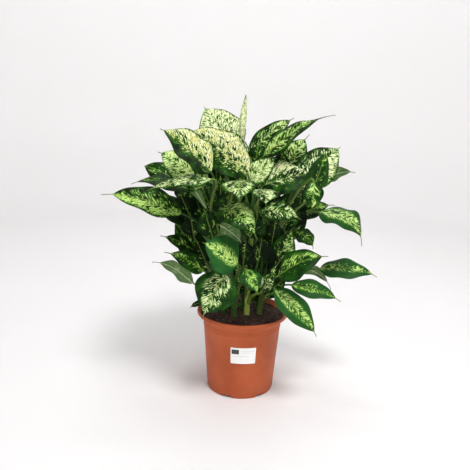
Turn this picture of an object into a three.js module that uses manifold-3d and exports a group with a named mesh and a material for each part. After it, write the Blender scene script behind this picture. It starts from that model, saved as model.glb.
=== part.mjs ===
// Potted dieffenbachia: seven leafy canes in a terracotta-coloured nursery pot filled with potting soil.
// Millimetres, +Z up. The origin is the centre of the pot's underside, on the surface that the pot stands on.
import * as THREE from "three";
import { mergeVertices } from "three/addons/utils/BufferGeometryUtils.js";
import Module from "manifold-3d";

const wasm = await Module();
wasm.setup();

// Clearance between pieces that touch
const GAP = 0.3;

// Pot: radius and height of each corner of its section
const POT_SIDES = 48;
const POT_OUTSIDE = [
  [0, 0], [46, 0], [50, 6], [63, 6], [64.5, 0], [68.5, 0], [70, 4],
  [81.5, 150], [92, 163], [95, 164], [95, 170], [93, 170.5],
];
const POT_INSIDE = [
  [92, 169], [90.5, 165], [80, 150], [68, 7.5], [50, 7.5], [46.5, 1.5], [0, 1.5],
];
const FOOT_RING_RADIUS = 66.5;
const NOTCH = { count: 6, first: -22, width: 22, depth: 12, height: 5.5 };
const DRAIN = { count: 6, first: 8, circle: 57, radius: 4, height: 20, sides: 8 };

// Paper label on the wall, between two corners of the pot's sides
const LABEL = { firstSide: -2, lastSide: 3, bottom: 82, top: 117, thickness: 0.6 };
const WALL_FOOT = new THREE.Vector2(70, 4);
const WALL_TOP = new THREE.Vector2(81.5, 150);

// Soil
const SOIL_TOP = 164;
const SOIL_SIDES = 28;
const SOIL_UNDERSIDE = [[0, 1.9], [46.1, 1.9], [49.7, 7.9], [67.6, 7.9], [79.4, 150], [86.3, 160.3]];
const SOIL_RINGS = [82, 66, 50, 32, 15, 0];
const SOIL_CROWN = 3;
const SOIL_LUMP = { height: 1.1, wavesX: 1 / 7, wavesY: 1 / 9, crossX: 1 / 11, crossY: 1 / 5 };

// Canes: they stand in plain holes in the soil
const CANE = { footRadius: 6.4, topRadius: 4.3, sides: 7, steps: 6, buried: 26, leanPower: 1.4 };
const HOLE = { clearance: 0.5, sides: 10, below: 3, above: 12 };

// Leaf stalks
const STALK = {
  rootRadius: 3.4, tipRadius: 1.8, sides: 4, steps: 4, drop: 95, lowest: 8,
  rise: 0.5, turn: 0.25, bend: 30, seat: 0.4,
};

// Leaf blades: steps from base to tip and from edge to edge, and their shape
const LARGE = { along: 5, across: 4 };
const SMALL = { along: 4, across: 2 };
const X_AXIS = new THREE.Vector3(1, 0, 0);
const BLADE = {
  spacing: 1.3, thickness: 1, keelBase: 1.5, keelTip: 0.2,
  stubBase: 2, stubTip: 0.6, archSkew: 0.35, cup: 0.3, sink: 1.5,
};
// Waves of the edges: height as a share of the width, count along the blade, and where they start
const WAVE = { share: 0.045, count: 2.3, startOfNext: 2.4, startOfOtherEdge: 1.9 };
// The outline's half width grows as k^0.62 (1 - k)^0.9 from base to tip, and this is its greatest value
const OUTLINE = { rise: 0.62, fall: 0.9, peak: 0.3578 };
const TWIST_START = 0.3;
const RIB_STEP = 1e-4;
const SAME_POINT = 1e-4;
// Edges of a joined stem that are shorter than this are closed up
const SHORT_EDGE = 0.2;

// Rolled young leaf at the top
const SPIRE = {
  stem: 6, base: [-13, -10, 520], bend: [-15, -11, 566], tip: [-9, -12, 608],
  radius: 7, sides: 7, steps: 8, stubBase: 2.4, stubTip: 0.7,
};

const COLOUR = {
  pot: 0xb26041, label: 0xf1efe9, soil: 0x33231d, stem: 0x6f9a3c, spire: 0xb9c98a,
  leaf: [0xb9cf78, 0x8db553, 0x5f9440, 0x3f7a34],
};

// Each stem: the foot of its cane on the soil, and the top of the cane
const STEMS = [
  [[-38, -6], [-64, -14, 320]],
  [[-17, -27], [-34, -56, 325]],
  [[9, -16], [12, -40, 345]],
  [[36, -8], [60, -20, 325]],
  [[-30, 27], [-52, 46, 345]],
  [[0, 13], [-6, 14, 410]],
  [[32, 27], [50, 44, 345]],
];

// Each leaf: stem, blade base, blade tip, width, azimuth and elevation that the upper side faces,
// arch, twist, share of the thin tail, fold
const LEAVES = [
  [2, [-1, -64, 463], [-116, -54, 540], 98, [270, 46], 0.1, 0, 0.06, 24],
  [1, [-65, -128, 471], [-154, -136, 543], 90, [266, 60], 0.08, 0, 0.06, 26],
  [1, [-80, -56, 438], [-169, -66, 498], 88, [262, 48], 0.08, 0, 0.06, 14],
  [5, [-28, 36, 492], [-96, 70, 583], 102, [262, 36], 0.08, 0, 0.05, 12],
  [6, [1, 34, 494], [90, 50, 567], 46, [285, 40], 0.1, 0, 0.08, 16],
  [3, [30, -26, 494], [159, -46, 576], 54, [290, 50], 0.12, 60, 0.08, 18],
  [7, [72, 18, 468], [122, 34, 536], 60, [280, 38], 0.08, 0, 0.18, 16],
  [4, [100, -40, 442], [182, 14, 514], 80, [290, 40], 0.06, 0, 0.06, 14],
  [4, [118, -80, 430], [142, -74, 512], 50, [300, 10], 0.04, 0, 0.06, 16],
  [4, [117, -130, 459], [115, -142, 413], 38, [270, 20], 0.1, 0, 0.06, 16],
  [7, [156, 24, 446], [220, 34, 462], 40, [80, 40], 0.15, 0, 0.12, 16],
  [3, [33, -48, 441], [124, -32, 463], 88, [270, 42], 0.06, 0, 0.08, 26],
  [3, [1, -38, 446], [55, -32, 492], 54, [270, 40], 0.08, 0, 0.08, 16],
  [2, [-18, -88, 452], [-12, -168, 428], 68, [270, 60], 0.1, 0, 0.06, 14],
  [3, [32, -110, 441], [33, -176, 423], 52, [270, 60], 0.1, 0, 0.06, 14],
  [2, [-45, -92, 401], [22, -150, 356], 72, [278, 50], 0.2, 0, 0.1, 18],
  [1, [-126, -50, 380], [-280, -54, 411], 72, [265, 50], 0.1, 0, 0.14, 26],
  [5, [-120, 36, 412], [-239, 24, 423], 58, [240, 70], 0.12, 0, 0.1, 16],
  [5, [-127, 76, 414], [-226, 96, 454], 66, [260, 40], 0.1, 0, 0.02, 16],
  [1, [-62, -162, 462], [-170, -178, 440], 54, [270, 76], 0.06, 0, 0.1, 14],
  [1, [-79, 4, 262], [-158, 40, 356], 62, [255, 35], 0.08, 30, 0.12, 18],
  [1, [-104, -12, 297], [-168, -44, 332], 36, [265, 40], 0.12, 0, 0.12, 18],
  [1, [-80, -54, 267], [-154, -78, 308], 42, [265, 45], 0.12, 0, 0.12, 18],
  [1, [-99, -64, 244], [-181, -60, 282], 58, [80, 40], 0.12, 0, 0.15, 18],
  [2, [-48, -72, 364], [-6, -104, 338], 50, [90, 20], 0.1, 0, 0.1, 14],
  [2, [-12, -118, 302], [-77, -138, 345], 80, [268, 42], 0.08, 0, 0.06, 16],
  [2, [-35, -114, 281], [-75, -136, 197], 84, [270, 30], 0.12, 0, 0.14, 12],
  [3, [2, -104, 288], [28, -146, 252], 44, [282, 40], 0.1, 0, 0.1, 14],
  [3, [36, -84, 240], [60, -104, 289], 36, [280, 40], 0.12, 0, 0.1, 16],
  [4, [61, -100, 249], [144, -106, 160], 54, [280, 40], 0.12, 0, 0.1, 14],
  [4, [98, -26, 236], [197, -44, 210], 46, [275, 50], 0.12, 0, 0.12, 16],
  [7, [100, 36, 256], [190, 40, 207], 46, [90, 50], 0.2, 0, 0.14, 16],
  [7, [160, 20, 259], [278, 10, 249], 60, [270, 60], 0.12, 0, 0.1, 14],
  [4, [65, -104, 278], [153, -122, 324], 66, [270, 50], 0.15, 0, 0.1, 18],
  [7, [149, 0, 384], [230, -40, 326], 76, [300, 50], 0.3, 0, 0.12, 14],
  [7, [106, 54, 364], [187, 58, 389], 50, [270, 50], 0.12, 0, 0.16, 16],
  [4, [30, -84, 399], [101, -112, 388], 50, [272, 42], 0.14, 0, 0.1, 14],
  [6, [20, 100, 480], [110, 170, 530], 76, [60, 45], 0.12, 0, 0.08, 14],
  [6, [-14, 110, 470], [-60, 210, 520], 78, [110, 45], 0.12, 0, 0.08, 14],
  [5, [-76, 100, 410], [-150, 170, 450], 74, [130, 45], 0.12, 0, 0.08, 14],
  [7, [70, 100, 400], [140, 170, 450], 74, [50, 45], 0.12, 0, 0.08, 14],
  [6, [-10, 90, 330], [-14, 160, 440], 80, [90, 25], 0.15, 0, 0.08, 14],
  [5, [-66, 96, 290], [-116, 150, 380], 72, [120, 35], 0.15, 0, 0.08, 14],
  [7, [76, 84, 290], [120, 140, 380], 70, [50, 35], 0.15, 0, 0.08, 14],
  [6, [-14, 110, 262], [-12, 210, 232], 72, [90, 60], 0.15, 0, 0.08, 14],
  [6, [14, 80, 256], [54, 74, 346], 60, [275, 30], 0.1, 0, 0.08, 14],
  [1, [-78, -42, 391], [-155, -72, 446], 32, [50, 35], 0.22, 0, 0.08, 14],
  [4, [60, -32, 278], [90, -54, 360], 56, [290, 35], 0.08, 0, 0.08, 14],
];

// Leaves that grow as one with their stem
const SMALL_LEAVES = [
  [1, [-80, -40, 197], [-107, -40, 183], 16, [270, 60], 0.1, 0, 0.1, 18],
  [7, [103, 0, 342], [139, -8, 308], 44, [300, 40], 0.25, 0, 0.12, 14],
  [5, [-1, 44, 330], [19, 54, 420], 70, [270, 30], 0.08, 0, 0.08, 14],
  [7, [100, 70, 316], [118, 80, 398], 50, [280, 30], 0.08, 0, 0.08, 14],
  [6, [-5, -6, 432], [-23, 2, 500], 60, [275, 30], 0.08, 0, 0.08, 14],
  [5, [-75, 26, 382], [-103, 42, 440], 56, [262, 30], 0.08, 0, 0.08, 14],
  [4, [78, -14, 350], [98, -10, 420], 46, [280, 30], 0.08, 0, 0.08, 14],
  [7, [34, 24, 224], [38, 22, 294], 46, [275, 30], 0.08, 0, 0.08, 14],
  [2, [-48, -40, 379], [-52, -52, 462], 44, [265, 30], 0.08, 0, 0.08, 14],
  [3, [23, -24, 399], [20, -24, 455], 40, [275, 30], 0.08, 0, 0.08, 14],
  [4, [50, -48, 222], [87, -54, 261], 36, [275, 40], 0.1, 0, 0.08, 14],
  [3, [-2, -54, 281], [2, -62, 336], 56, [272, 25], 0.08, 0, 0.08, 14],
  [4, [35, -46, 284], [45, -54, 332], 50, [275, 30], 0.08, 0, 0.08, 14],
  [3, [9, -56, 337], [23, -66, 387], 54, [280, 25], 0.08, 0, 0.08, 14],
  [7, [36, 20, 307], [60, 24, 360], 52, [280, 30], 0.08, 0, 0.08, 14],
  [1, [-65, -40, 334], [-82, -44, 391], 52, [262, 30], 0.08, 0, 0.08, 14],
  [2, [-39, -48, 379], [-32, -52, 433], 52, [268, 30], 0.08, 0, 0.08, 14],
  [4, [75, -26, 378], [86, -30, 431], 52, [282, 30], 0.08, 0, 0.08, 14],
  [6, [7, -10, 389], [19, -6, 443], 56, [275, 30], 0.08, 0, 0.08, 14],
  [5, [-83, 20, 340], [-103, 24, 393], 52, [262, 30], 0.08, 0, 0.08, 14],
  [4, [56, -36, 236], [67, -44, 287], 38, [275, 20], 0.08, 0, 0.08, 14],
  [7, [100, 10, 349], [108, 14, 403], 46, [282, 30], 0.08, 0, 0.08, 14],
  [5, [-32, 86, 386], [-64, 128, 446], 60, [110, 35], 0.08, 0, 0.08, 14],
  [7, [72, 74, 336], [100, 106, 416], 60, [70, 35], 0.08, 0, 0.08, 14],
  [6, [-6, 96, 281], [2, 140, 355], 60, [90, 35], 0.08, 0, 0.08, 14],
  [6, [30, 54, 430], [50, 86, 500], 60, [80, 35], 0.08, 0, 0.08, 14],
  [3, [36, 13, 337], [44, 7, 399], 52, [274, 28], 0.08, 0, 0.08, 14],
  [6, [12, 13, 461], [20, 7, 517], 46, [274, 28], 0.08, 0, 0.08, 14],
  [7, [61, 13, 451], [69, 7, 505], 46, [274, 28], 0.08, 0, 0.08, 14],
  [5, [-135, 63, 383], [-127, 57, 435], 46, [274, 28], 0.08, 0, 0.08, 14],
  [3, [22, 13, 239], [30, 7, 295], 44, [274, 28], 0.08, 0, 0.08, 14],
  [2, [23, 13, 184], [31, 7, 230], 36, [274, 28], 0.08, 0, 0.08, 14],
  [7, [89, 23, 382], [97, 17, 436], 42, [274, 28], 0.08, 0, 0.08, 14],
  [5, [-115, 6, 352], [-200, -6, 413], 50, [268, 36], 0.08, 0, 0.08, 14],
  [2, [-40, -40, 276], [-53, -46, 326], 34, [272, 26], 0.08, 0, 0.08, 14],
  [3, [4, -40, 259], [10, -46, 312], 34, [272, 26], 0.08, 0, 0.08, 14],
  [4, [53, -40, 262], [77, -46, 300], 34, [272, 26], 0.08, 0, 0.08, 14],
  [7, [68, 10, 243], [95, 4, 278], 34, [272, 26], 0.08, 0, 0.08, 14],
  [5, [-68, 30, 239], [-86, 24, 295], 40, [272, 26], 0.08, 0, 0.08, 14],
  [6, [-22, 30, 251], [-24, 24, 311], 30, [272, 26], 0.08, 0, 0.08, 14],
  [1, [-78, -20, 275], [-99, -26, 324], 38, [272, 26], 0.08, 0, 0.08, 14],
  [3, [27, -60, 291], [32, -66, 341], 40, [272, 26], 0.08, 0, 0.08, 14],
  [4, [53, -40, 324], [58, -46, 375], 44, [272, 26], 0.08, 0, 0.08, 14],
  [2, [-25, -50, 340], [-34, -56, 396], 46, [272, 26], 0.08, 0, 0.08, 14],
  [5, [-114, 0, 364], [-134, -6, 411], 50, [272, 26], 0.08, 0, 0.08, 14],
  [1, [-104, -16, 328], [-112, -22, 378], 44, [272, 26], 0.08, 0, 0.08, 14],
  [3, [52, -4, 379], [58, -10, 429], 44, [272, 26], 0.08, 0, 0.08, 14],
  [7, [109, 16, 390], [110, 10, 432], 40, [272, 26], 0.08, 0, 0.08, 14],
  [2, [-7, -30, 237], [-12, -36, 288], 26, [272, 26], 0.08, 0, 0.08, 14],
  [3, [28, -44, 228], [30, -50, 276], 26, [272, 26], 0.08, 0, 0.08, 14],
  [4, [51, -36, 208], [66, -42, 252], 26, [272, 26], 0.08, 0, 0.08, 14],
  [6, [-61, 0, 437], [-64, -6, 478], 36, [272, 26], 0.08, 0, 0.08, 14],
  [2, [-9, -10, 206], [-9, -16, 251], 26, [272, 26], 0.08, 0, 0.08, 14],
];

// Geometry helpers

function toSolid(geometry) {
  const bare = geometry.clone();
  bare.deleteAttribute("normal");
  bare.deleteAttribute("uv");
  const merged = mergeVertices(bare, SAME_POINT);
  return new wasm.Manifold(
    new wasm.Mesh({
      numProp: 3,
      vertProperties: merged.attributes.position.array,
      triVerts: new Uint32Array(merged.index.array),
    }),
  );
}

// The largest closed surface of a joined solid, which fills the small hollows that crossing stalks seal
function largestShell(solid) {
  const shells = solid.decompose();
  shells.sort((one, other) => other.volume() - one.volume());
  return shells[0];
}

function toGeometry(solid) {
  const mesh = solid.getMesh();
  const geometry = new THREE.BufferGeometry();
  geometry.setAttribute("position", new THREE.BufferAttribute(mesh.vertProperties, 3));
  geometry.setIndex(new THREE.BufferAttribute(mesh.triVerts, 1));
  geometry.computeVertexNormals();
  return geometry;
}

function named(name, geometry, colour, roughness) {
  const material = new THREE.MeshStandardMaterial({ color: colour, roughness, metalness: 0 });
  const mesh = new THREE.Mesh(geometry, material);
  mesh.name = name;
  return mesh;
}

function lathe(profile, sides) {
  const points = profile.map(([radius, height]) => new THREE.Vector2(radius, height));
  return new THREE.LatheGeometry(points, sides).rotateX(Math.PI / 2);
}

function vector([x, y, z]) {
  return new THREE.Vector3(x, y, z);
}

// A rod of round section along a curve, whose radius changes from its first end to its last
function rod(curve, sides, steps, radiusAt) {
  const section = new THREE.Shape(
    Array.from({ length: sides }, (_, i) => {
      const angle = (2 * Math.PI * i) / sides;
      return new THREE.Vector2(Math.cos(angle), Math.sin(angle));
    }),
  );
  const geometry = new THREE.ExtrudeGeometry(section, { steps, bevelEnabled: false, extrudePath: curve });
  const axis = curve.getSpacedPoints(steps);
  const positions = geometry.attributes.position;
  const vertex = new THREE.Vector3();
  for (let i = 0; i < positions.count; i += 1) {
    vertex.fromBufferAttribute(positions, i);
    const distances = axis.map((point) => point.distanceTo(vertex));
    const nearest = distances.indexOf(Math.min(...distances));
    vertex.sub(axis[nearest]).multiplyScalar(radiusAt(nearest / steps)).add(axis[nearest]);
    positions.setXYZ(i, vertex.x, vertex.y, vertex.z);
  }
  return geometry;
}

function mix(start, end, share) {
  return start + (end - start) * share;
}

// Pot

function around({ count, first }, place) {
  return Array.from({ length: count }, (_, i) => {
    const angle = THREE.MathUtils.degToRad(first + (360 / count) * i);
    return place(angle);
  });
}

function pot() {
  let body = toSolid(lathe([...POT_OUTSIDE, ...POT_INSIDE], POT_SIDES));
  const notches = around(NOTCH, (angle) =>
    new THREE.BoxGeometry(NOTCH.width, NOTCH.depth, 2 * NOTCH.height)
      .translate(0, -FOOT_RING_RADIUS, 0)
      .rotateZ(angle),
  );
  const drains = around(DRAIN, (angle) =>
    new THREE.CylinderGeometry(DRAIN.radius, DRAIN.radius, DRAIN.height, DRAIN.sides)
      .rotateX(Math.PI / 2)
      .translate(0, -DRAIN.circle, 0)
      .rotateZ(angle),
  );
  for (const cutter of [...notches, ...drains]) {
    body = body.subtract(toSolid(cutter));
  }
  return named("pot", toGeometry(body), COLOUR.pot, 0.55);
}

// A thin curved plate whose facets lie along the facets of the pot's wall
function label() {
  const facets = LABEL.lastSide - LABEL.firstSide;
  const geometry = new THREE.BoxGeometry(1, 1, 1, facets, 1, 1);
  const positions = geometry.attributes.position;
  for (let i = 0; i < positions.count; i += 1) {
    const side = LABEL.firstSide + Math.round((positions.getX(i) + 0.5) * facets);
    const angle = (2 * Math.PI * side) / POT_SIDES;
    const height = mix(LABEL.bottom, LABEL.top, positions.getY(i) + 0.5);
    const share = (height - WALL_FOOT.y) / (WALL_TOP.y - WALL_FOOT.y);
    const outward = GAP + LABEL.thickness * (positions.getZ(i) + 0.5);
    const radius = mix(WALL_FOOT.x, WALL_TOP.x, share) + outward;
    positions.setXYZ(i, radius * Math.sin(angle), -radius * Math.cos(angle), height);
  }
  return named("label", geometry, COLOUR.label, 0.5);
}

// Soil

function soilHeight(x, y) {
  const { height, wavesX, wavesY, crossX, crossY } = SOIL_LUMP;
  const crown = SOIL_CROWN * (Math.hypot(x, y) / SOIL_RINGS[0]) ** 2;
  const lumps = Math.sin(x * wavesX + 1) * Math.cos(y * wavesY) + Math.sin(y * crossY + x * crossX);
  return SOIL_TOP - crown + height * lumps;
}

function soil() {
  const geometry = lathe([...SOIL_UNDERSIDE, ...SOIL_RINGS.map((r) => [r, SOIL_TOP])], SOIL_SIDES);
  const positions = geometry.attributes.position;
  for (let i = 0; i < positions.count; i += 1) {
    if (positions.getZ(i) > SOIL_TOP - 1) {
      positions.setZ(i, soilHeight(positions.getX(i), positions.getY(i)));
    }
  }
  let body = toSolid(geometry);
  const radius = CANE.footRadius + HOLE.clearance;
  const bottom = SOIL_TOP - CANE.buried - HOLE.below;
  const height = CANE.buried + HOLE.below + HOLE.above;
  for (const [[x, y]] of STEMS) {
    const hole = new THREE.CylinderGeometry(radius, radius, height, HOLE.sides)
      .rotateX(Math.PI / 2)
      .translate(x, y, bottom + height / 2);
    body = body.subtract(toSolid(hole));
  }
  return named("soil", toGeometry(body), COLOUR.soil, 1);
}

// Leaves: a blade's surface is a function of u, from its base to its tip, and v, from edge to edge

class Blade {
  constructor([stem, base, tip, width, [azimuth, elevation], arch, twist, tail, fold], index) {
    this.stem = stem;
    this.base = vector(base);
    this.chord = vector(tip).sub(this.base);
    this.length = this.chord.length();
    this.width = width;
    const polar = THREE.MathUtils.degToRad(90 - elevation);
    const turn = THREE.MathUtils.degToRad(azimuth + 90);
    const face = new THREE.Vector3().setFromSphericalCoords(1, polar, turn);
    face.applyAxisAngle(X_AXIS, Math.PI / 2);
    const ahead = this.chord.clone().normalize();
    this.upper = face.addScaledVector(ahead, -face.dot(ahead)).normalize();
    this.arch = arch * this.length;
    this.twist = THREE.MathUtils.degToRad(twist);
    this.tail = tail;
    this.fold = THREE.MathUtils.degToRad(fold);
    this.phase = WAVE.startOfNext * index;
  }

  rib(u) {
    const rise = 4 * u * (1 - u) * (1 + BLADE.archSkew * (2 * u - 1));
    return this.base.clone().addScaledVector(this.chord, u).addScaledVector(this.upper, this.arch * rise);
  }

  ahead(u) {
    return this.rib(u + RIB_STEP).sub(this.rib(u - RIB_STEP)).normalize();
  }

  // Share of the greatest half width at u, without the long thin tail
  outline(u) {
    const k = Math.min(u / (1 - this.tail), 1);
    return (k ** OUTLINE.rise * (1 - k) ** OUTLINE.fall) / OUTLINE.peak;
  }

  point(u, v, layer) {
    const ahead = this.ahead(u);
    const angle = (this.twist * Math.max(u - TWIST_START, 0)) / (1 - TWIST_START);
    const normal = this.upper.clone().addScaledVector(ahead, -this.upper.dot(ahead)).normalize();
    const across = ahead.clone().cross(normal);
    across.applyAxisAngle(ahead, -angle);
    normal.applyAxisAngle(ahead, -angle);
    const bulge = this.outline(u);
    const halfWidth = Math.hypot((this.width / 2) * bulge, mix(BLADE.stubBase, BLADE.stubTip, u));
    const edge = Math.abs(v);
    const start = this.phase + (v > 0 ? WAVE.startOfOtherEdge : 0);
    const ripple = WAVE.share * this.width * bulge * Math.sin(2 * Math.PI * WAVE.count * u + start);
    const lift =
      halfWidth * (edge * Math.sin(this.fold) - BLADE.cup * edge * edge) + ripple * edge * edge;
    const keel = v === 0 && layer < 0 ? mix(BLADE.keelBase, BLADE.keelTip, u) : 0;
    return this.rib(u)
      .addScaledVector(across, halfWidth * v * Math.cos(this.fold))
      .addScaledVector(normal, lift + (layer * BLADE.thickness) / 2 - keel);
  }

  // Upper and lower faces share one grid, split alike, and a rim joins them
  geometry({ along, across }) {
    const grid = new THREE.PlaneGeometry(2, 1, across, along);
    const count = grid.attributes.position.count;
    const faces = grid.index.array;
    const vertices = [];
    for (const layer of [1, -1]) {
      for (let i = 0; i < count; i += 1) {
        const u = (0.5 - grid.attributes.position.getY(i)) ** BLADE.spacing;
        vertices.push(...this.point(u, grid.attributes.position.getX(i), layer));
      }
    }
    const triangles = [];
    for (let i = 0; i < faces.length; i += 3) {
      const [a, b, c] = faces.slice(i, i + 3);
      triangles.push(a, c, b, count + a, count + b, count + c);
    }
    const row = across + 1;
    const edge = [
      ...Array.from({ length: along }, (_, i) => i * row),
      ...Array.from({ length: across }, (_, i) => along * row + i),
      ...Array.from({ length: along }, (_, i) => (along - i) * row + across),
      ...Array.from({ length: across }, (_, i) => across - i),
    ];
    edge.forEach((a, i) => {
      const b = edge[(i + 1) % edge.length];
      triangles.push(a, b, count + a, b, count + b, count + a);
    });
    const geometry = new THREE.BufferGeometry();
    geometry.setAttribute("position", new THREE.Float32BufferAttribute(vertices, 3));
    geometry.setIndex(triangles);
    geometry.computeVertexNormals();
    return geometry;
  }
}

// Stems

function canePoint(stem, height) {
  const [[footX, footY], [topX, topY, topHeight]] = STEMS[stem - 1];
  const lean = (Math.max(height - SOIL_TOP, 0) / (topHeight - SOIL_TOP)) ** CANE.leanPower;
  return new THREE.Vector3(mix(footX, topX, lean), mix(footY, topY, lean), height);
}

function cane(stem) {
  const top = STEMS[stem - 1][1][2];
  const bottom = SOIL_TOP - CANE.buried;
  const points = Array.from({ length: CANE.steps + 1 }, (_, i) => {
    const height = mix(bottom, top, i / CANE.steps);
    return canePoint(stem, height);
  });
  const curve = new THREE.CatmullRomCurve3(points);
  return rod(curve, CANE.sides, CANE.steps, (share) => mix(CANE.footRadius, CANE.topRadius, share));
}

// A stalk leaves its cane below the blade and turns into the line of the blade's rib
function stalk(stem, base, ahead, reach) {
  const top = STEMS[stem - 1][1][2];
  const height = Math.min(Math.max(base.z - STALK.drop, SOIL_TOP + STALK.lowest), top);
  const root = canePoint(stem, height);
  const below = canePoint(stem, height - CANE.topRadius);
  const up = canePoint(stem, height + CANE.topRadius).sub(below).normalize();
  const span = base.distanceTo(root);
  const curve = new THREE.CubicBezierCurve3(
    root,
    root.clone().addScaledVector(up, STALK.rise * span),
    base.clone().addScaledVector(ahead, -Math.min(STALK.turn * span, STALK.bend)),
    base.clone().addScaledVector(ahead, reach),
  );
  return rod(curve, STALK.sides, STALK.steps, (share) => mix(STALK.rootRadius, STALK.tipRadius, share));
}

function stem(number, blades, smallBlades) {
  let body = toSolid(cane(number));
  for (const blade of blades.filter((one) => one.stem === number)) {
    body = body.add(toSolid(stalk(number, blade.base, blade.ahead(0), -STALK.seat)));
  }
  for (const blade of smallBlades.filter((one) => one.stem === number)) {
    body = body.add(toSolid(stalk(number, blade.base, blade.ahead(0), BLADE.sink)));
    body = body.add(toSolid(blade.geometry(SMALL)));
  }
  if (number === SPIRE.stem) {
    const ahead = vector(SPIRE.bend).sub(vector(SPIRE.base)).normalize();
    body = body.add(toSolid(stalk(number, vector(SPIRE.base), ahead, -STALK.seat)));
  }
  // A second pass parts a hollow that meets the outer surface in one point
  const outside = toSolid(toGeometry(largestShell(body)));
  const shell = largestShell(outside).simplify(SHORT_EDGE);
  return named(`stem_${number}`, toGeometry(shell), COLOUR.stem, 0.5);
}

function spire() {
  const [base, bend, tip] = [SPIRE.base, SPIRE.bend, SPIRE.tip].map(vector);
  const curve = new THREE.QuadraticBezierCurve3(base, bend, tip);
  const geometry = rod(curve, SPIRE.sides, SPIRE.steps, (share) => {
    const bulge = (share ** OUTLINE.rise * (1 - share) ** OUTLINE.fall) / OUTLINE.peak;
    return Math.hypot(SPIRE.radius * bulge, mix(SPIRE.stubBase, SPIRE.stubTip, share));
  });
  return named("spire", geometry, COLOUR.spire, 0.45);
}

// The plant in its pot

const blades = LEAVES.map((row, i) => new Blade(row, i));
const smallBlades = SMALL_LEAVES.map((row, i) => new Blade(row, LEAVES.length + i));

const group = new THREE.Group();
group.name = "potted_dieffenbachia";
group.add(pot(), label(), soil());
STEMS.forEach((_, i) => group.add(stem(i + 1, blades, smallBlades)));
blades.forEach((blade, i) => {
  const name = `leaf_${String(i + 1).padStart(2, "0")}`;
  const colour = COLOUR.leaf[i % COLOUR.leaf.length];
  group.add(named(name, blade.geometry(LARGE), colour, 0.4));
});
group.add(spire());

export default group;
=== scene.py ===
"""Potted dieffenbachia: fine leaves, stalks, canes, pot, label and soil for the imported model.

Lengths in the tables are millimetres, and the objects are made in metres. +Z up, -Y towards the camera."""

import math

import bmesh
import bpy
import numpy as np
from mathutils import Matrix, Vector, noise


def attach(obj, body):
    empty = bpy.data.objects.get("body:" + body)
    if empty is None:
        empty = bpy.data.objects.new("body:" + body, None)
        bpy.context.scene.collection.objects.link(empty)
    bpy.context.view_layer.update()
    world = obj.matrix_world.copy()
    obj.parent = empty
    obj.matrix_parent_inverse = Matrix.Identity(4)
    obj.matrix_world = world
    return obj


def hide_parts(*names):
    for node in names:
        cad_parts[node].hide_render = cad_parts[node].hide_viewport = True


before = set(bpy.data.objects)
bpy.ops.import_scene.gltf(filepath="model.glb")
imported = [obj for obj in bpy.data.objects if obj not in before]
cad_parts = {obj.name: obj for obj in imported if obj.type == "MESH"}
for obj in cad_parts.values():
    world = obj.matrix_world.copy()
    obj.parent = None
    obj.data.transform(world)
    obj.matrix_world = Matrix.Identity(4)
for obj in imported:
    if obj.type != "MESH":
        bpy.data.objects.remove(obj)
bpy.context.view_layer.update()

MM = 0.001
DECIMETRE = 100
FULL_TURN = 2 * math.pi

# Camera: focal length as a share of the frame's width, place in metres, angles in degrees
FOCAL = 550 / 470
SENSOR = 36
CAMERA_AT = (0, -1.098, 0.578)
CAMERA_DOWN = 12.75
CAMERA_YAW = -1.1
CAMERA_ROLL = 1.97

# Lights: name, place and aim in metres, width in metres, watts
LIGHTS = [
    ("key", (0.45, -1.15, 2.35), (0, 0, 0.3), 0.8, 42),
    ("fill", (-0.5, -1.8, 0.9), (0, 0, 0.15), 0.8, 2.5),
    ("top", (0.1, 0.1, 2.2), (0, 0, 0.3), 1.0, 4),
    ("wall", (0, 0.7, 2.4), (0, 2.7, 0.5), 1.0, 19),
]
SKY = {"colour": (0.95, 0.97, 1, 1), "strength": 0.1}

# Studio: a round floor that bends up into a wall
STUDIO = {"radius": 2700, "bend": 700, "height": 3200, "sides": 96, "arc_steps": 16}

# Pot: points of its section as radius and height, up the outside and down the inside
POT_SIDES = 144
POT_FOOT = [(0, 0), (46, 0), (50, 6), (63, 6), (64.5, 0.3), (65, 0), (68, 0), (68.6, 0.4), (70, 4)]
POT_LIP = [
    (81.5, 150), (82.6, 155), (86.5, 160.5), (92, 163), (94.4, 163.6), (95, 164.3), (95, 169.2),
    (94.4, 170.2), (93.2, 170.5),
]
POT_INSIDE = [(92.3, 170.2), (92, 169), (90.5, 165), (80, 150), (68, 7.5), (50, 7.5), (46.5, 1.5), (0, 1.5)]
WALL_FOOT = POT_FOOT[-1]
WALL_TOP = POT_LIP[0]
# Low ribs round the wall under the lip: the heights of their middles, and a rib's section
WALL_RIBS = (139.5, 145.5)
RIB_SECTION = ((-1.4, 0), (-0.6, 0.5), (0.6, 0.5), (1.4, 0))
FOOT_RING = 66.5
NOTCH = {"count": 6, "first": -22, "width": 22, "depth": 12, "height": 5.5}
DRAIN = {"count": 6, "first": 8, "circle": 57, "radius": 4, "height": 20, "sides": 24}
SOFTENING = {"width": 0.4, "segments": 2, "from_angle": 50}
SHARP_FROM = 40

# Label on the wall: the first and last of the CAD pot's facets that it spans, and its height
LABEL = {
    "first": -2, "last": 3, "facets": 48, "bottom": 82, "top": 117, "gap": 0.3, "thickness": 0.5,
    "columns": 40, "rows": 24,
}

# Soil: its section under the surface, and the lumps of the surface as height and fineness
SOIL_TOP = 164
SOIL_EDGE = 86
SOIL_UNDERSIDE = [(0, 2), (46, 2), (49.6, 8), (67.5, 8), (79.2, 150), (SOIL_EDGE, 160)]
SOIL_RINGS = 46
SOIL_SIDES = 150
SOIL_DISH = 3
SOIL_LUMPS = [(2.4, 1), (1.8, 2.7), (1.1, 7)]
LUMP = {"width": 17, "layer": 3.1}
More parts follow.
